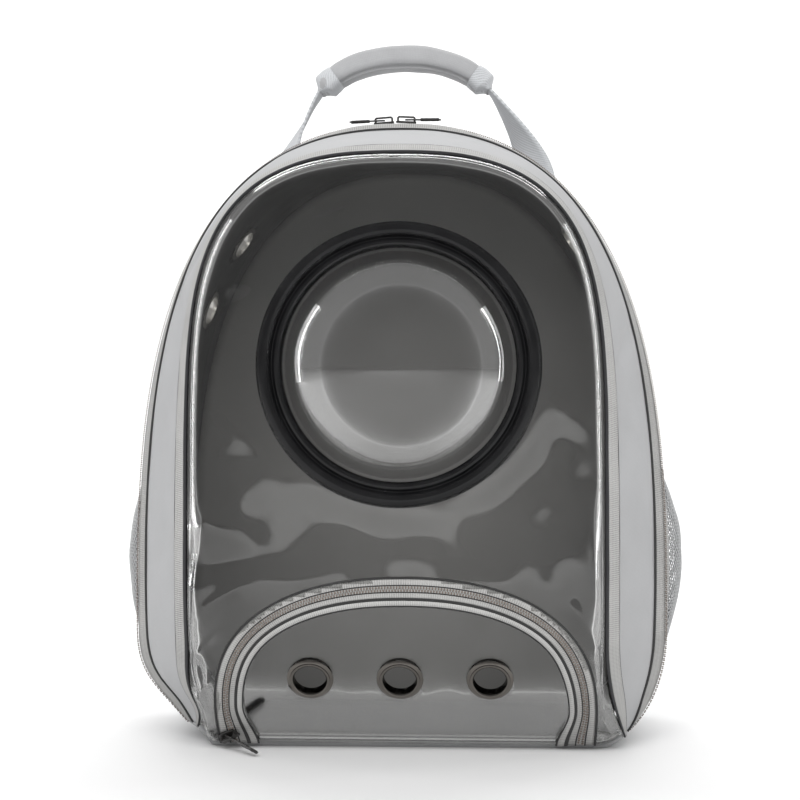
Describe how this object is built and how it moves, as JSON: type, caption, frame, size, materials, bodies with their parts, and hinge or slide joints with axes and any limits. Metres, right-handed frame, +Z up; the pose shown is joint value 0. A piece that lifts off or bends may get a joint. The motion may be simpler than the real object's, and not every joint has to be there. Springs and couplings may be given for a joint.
{
  "type": "bubble pet carrier backpack",
  "caption": "Arched soft pet carrier worn on the back, with a clear front sheet, a round bubble window, a zipped lower door and side pockets.",
  "frame": {"origin": "on the ground under the middle of the whole bag", "axes": "+Z up, -Y out of the front with the bubble, +X to the right seen from the front"},
  "size_m": [0.3822, 0.3122, 0.4747],
  "materials": {
    "shell_fabric": "light grey coated oxford cloth",
    "binding_tape": "ribbed grey woven tape",
    "padded_fabric": "grey cloth over foam",
    "webbing": "pale blue-grey woven webbing",
    "pocket_net": "fine grey net",
    "lining_fabric": "mid grey lining cloth",
    "backing_fabric": "dark grey lining cloth",
    "clear_sheet": "clear flexible sheet",
    "clear_dome": "clear rigid plastic",
    "black_plastic": "glossy black plastic",
    "zip_coil": "grey-brown nylon coil",
    "eyelet_metal": "gunmetal plated",
    "slider_metal": "black painted metal"
  },
  "bodies": {
    "carrier": {"rear_wall": "shell_fabric", "front_gusset": "shell_fabric", "base_panel": "shell_fabric", "wall_lining": "lining_fabric", "base_mat": "backing_fabric", "back_lining": "backing_fabric", "back_panel": "padded_fabric", "window_piping": "black_plastic", "window_binding": "binding_tape", "main_zip_tape": "binding_tape", "main_zip_coil": "zip_coil", "front_window": "clear_sheet", "door_zip_tape": "binding_tape", "door_zip_coil": "zip_coil", "door_binding": "binding_tape", "door_window": "clear_sheet", "door_eyelet_1": "eyelet_metal", "door_eyelet_2": "eyelet_metal", "door_eyelet_3": "eyelet_metal", "side_eyelet_left_lower": "eyelet_metal", "side_eyelet_left_upper": "eyelet_metal", "side_eyelet_right_lower": "eyelet_metal", "side_eyelet_right_upper": "eyelet_metal", "bubble_ring": "black_plastic", "bubble_clamp_ring": "black_plastic", "bubble_dome": "clear_dome", "handle_webbing": "webbing", "handle_grip": "padded_fabric", "side_pocket_left": "pocket_net", "side_pocket_right": "pocket_net", "pocket_band_left": "binding_tape", "pocket_band_right": "binding_tape", "strap_yoke": "webbing", "shoulder_strap_left": "padded_fabric", "shoulder_strap_right": "padded_fabric", "strap_webbing_left": "webbing", "strap_webbing_right": "webbing", "strap_adjuster_left": "black_plastic", "strap_adjuster_right": "black_plastic", "main_slider_left": "slider_metal", "main_slider_right": "slider_metal", "door_slider": "slider_metal"},
    "main_pull_left": {"main_pull_left": "slider_metal"},
    "main_pull_right": {"main_pull_right": "slider_metal"},
    "door_pull": {"door_pull": "slider_metal"}
  },
  "joints": [
    {"name": "main_pull_left_lift", "type": "hinge", "parent": "carrier", "child": "main_pull_left", "pos_m": [-0.01078, -0.02676, 0.41335], "axis": [0, 0.9923, 0.124], "range_deg": [0, 105]},
    {"name": "main_pull_right_lift", "type": "hinge", "parent": "carrier", "child": "main_pull_right", "pos_m": [0.00411, -0.02676, 0.41383], "axis": [0, -0.9921, -0.1257], "range_deg": [0, 105]},
    {"name": "door_pull_lift", "type": "hinge", "parent": "carrier", "child": "door_pull", "pos_m": [-0.11005, -0.05947, 0.00866], "axis": [0.6261, 0.6004, -0.4976], "range_deg": [-25, 70]}
  ]
}
